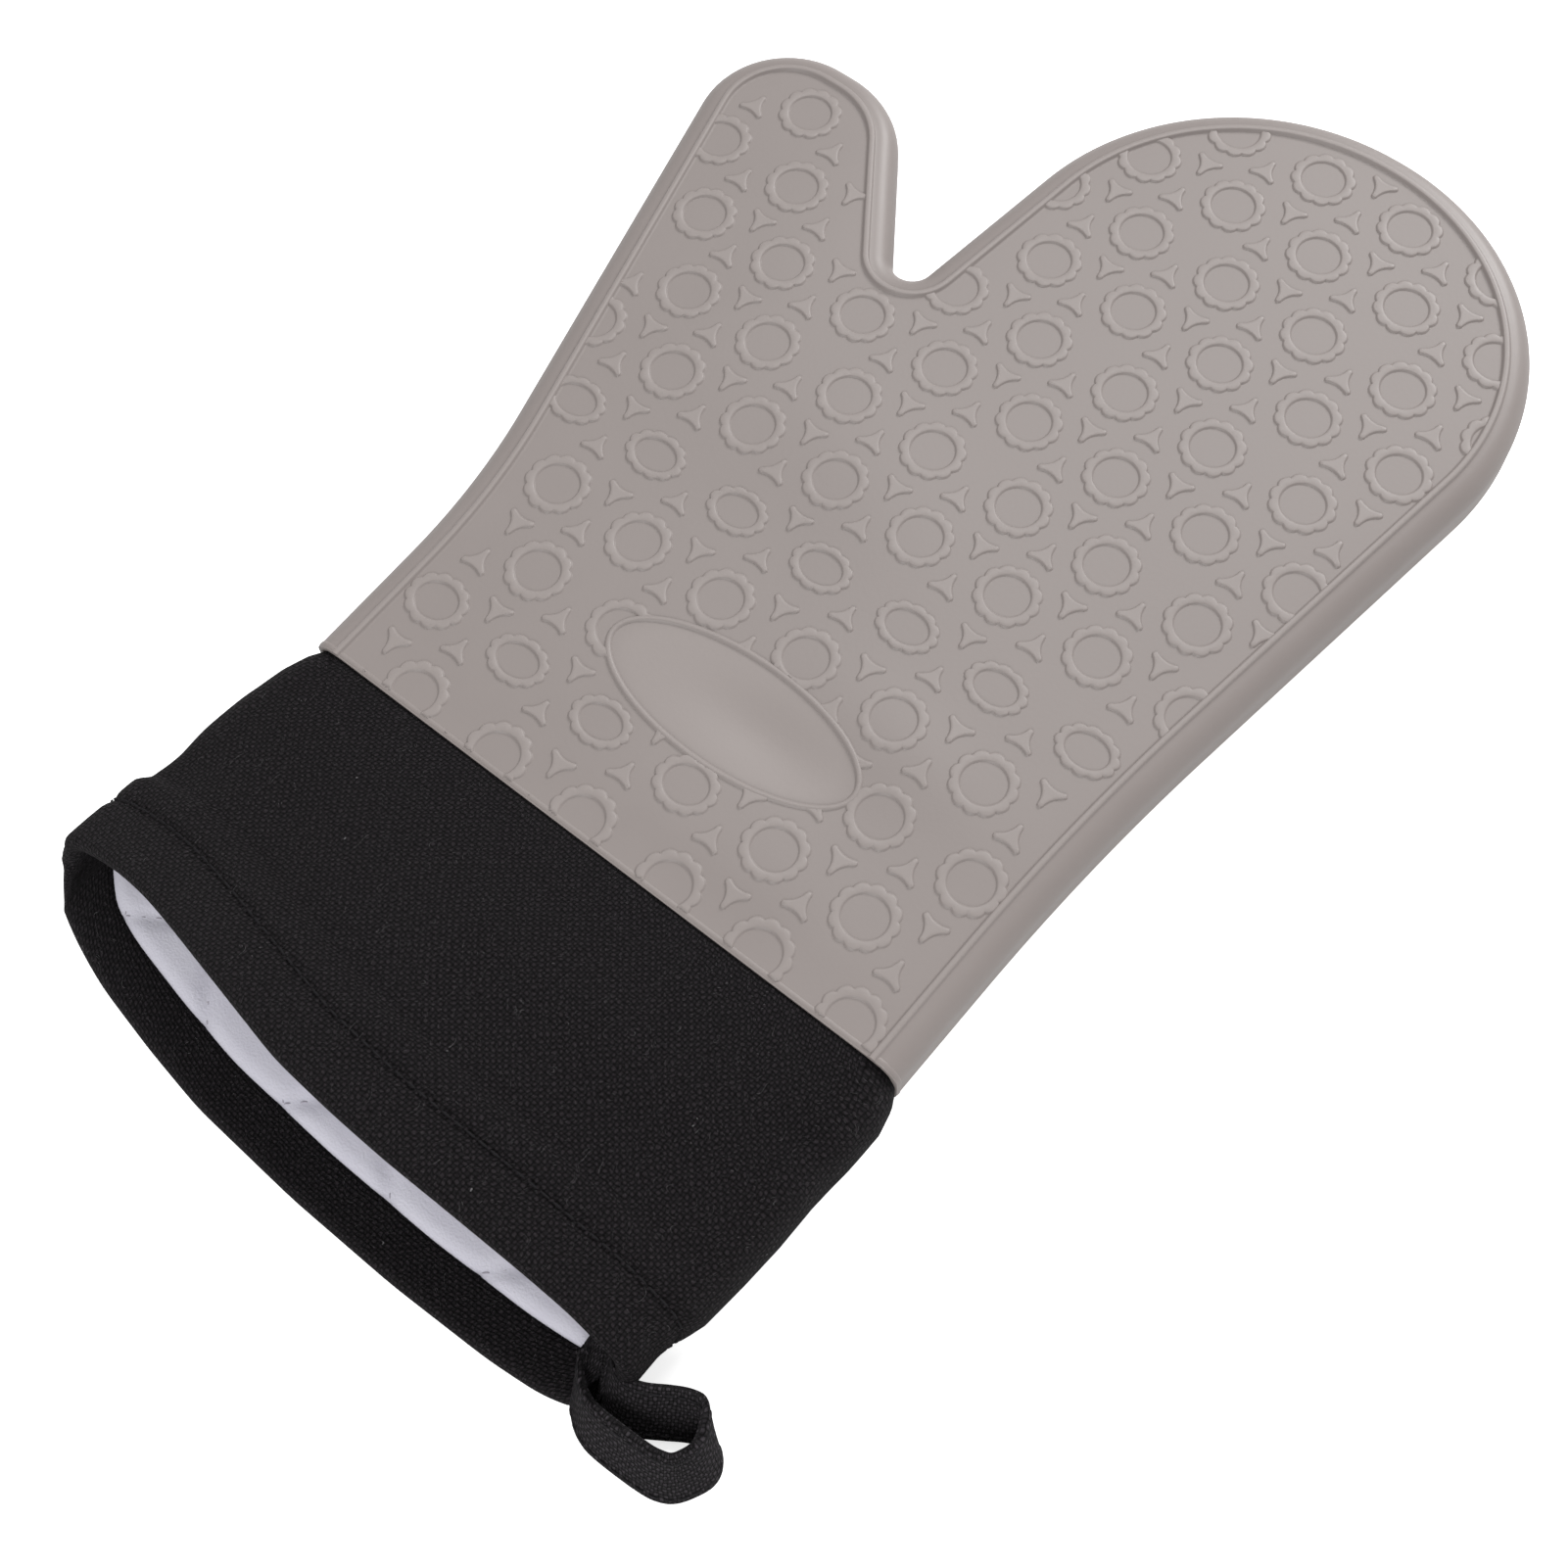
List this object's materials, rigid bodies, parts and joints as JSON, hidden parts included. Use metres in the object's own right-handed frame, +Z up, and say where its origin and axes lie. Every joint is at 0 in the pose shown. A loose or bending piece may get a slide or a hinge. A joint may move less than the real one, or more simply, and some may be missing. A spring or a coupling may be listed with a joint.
{
  "type": "oven mitt",
  "caption": "Silicone oven mitt with a moulded thumb and grip relief, quilted lining, open canvas cuff and a hanging loop at the wrist.",
  "frame": {"origin": "middle of the silicone rim's lip, on the underside that the mitt lies on", "axes": "+Y from the cuff to the fingertips, +Z up out of the upper face, the thumb on the -X side"},
  "size_m": [0.211, 0.3472, 0.0313],
  "materials": {
    "silicone": "matte moulded silicone, warm grey",
    "canvas": "black plain-weave cotton canvas",
    "batting": "off-white fibre batting",
    "lining": "white quilted cotton lining",
    "tape": "black folded canvas tape"
  },
  "bodies": {
    "mitt": {"silicone_shell": "silicone", "cuff_top": "canvas", "cuff_bottom": "canvas", "batting_top": "batting", "batting_bottom": "batting", "lining_top": "lining", "lining_bottom": "lining", "loop_root": "tape"},
    "loop": {"hanging_loop": "tape"}
  },
  "joints": [
    {"name": "loop_swing", "type": "hinge", "parent": "mitt", "child": "loop", "pos_m": [0.0778, -0.0785, 0.011], "axis": [0, -1, 0], "range_deg": [0, 90]}
  ]
}
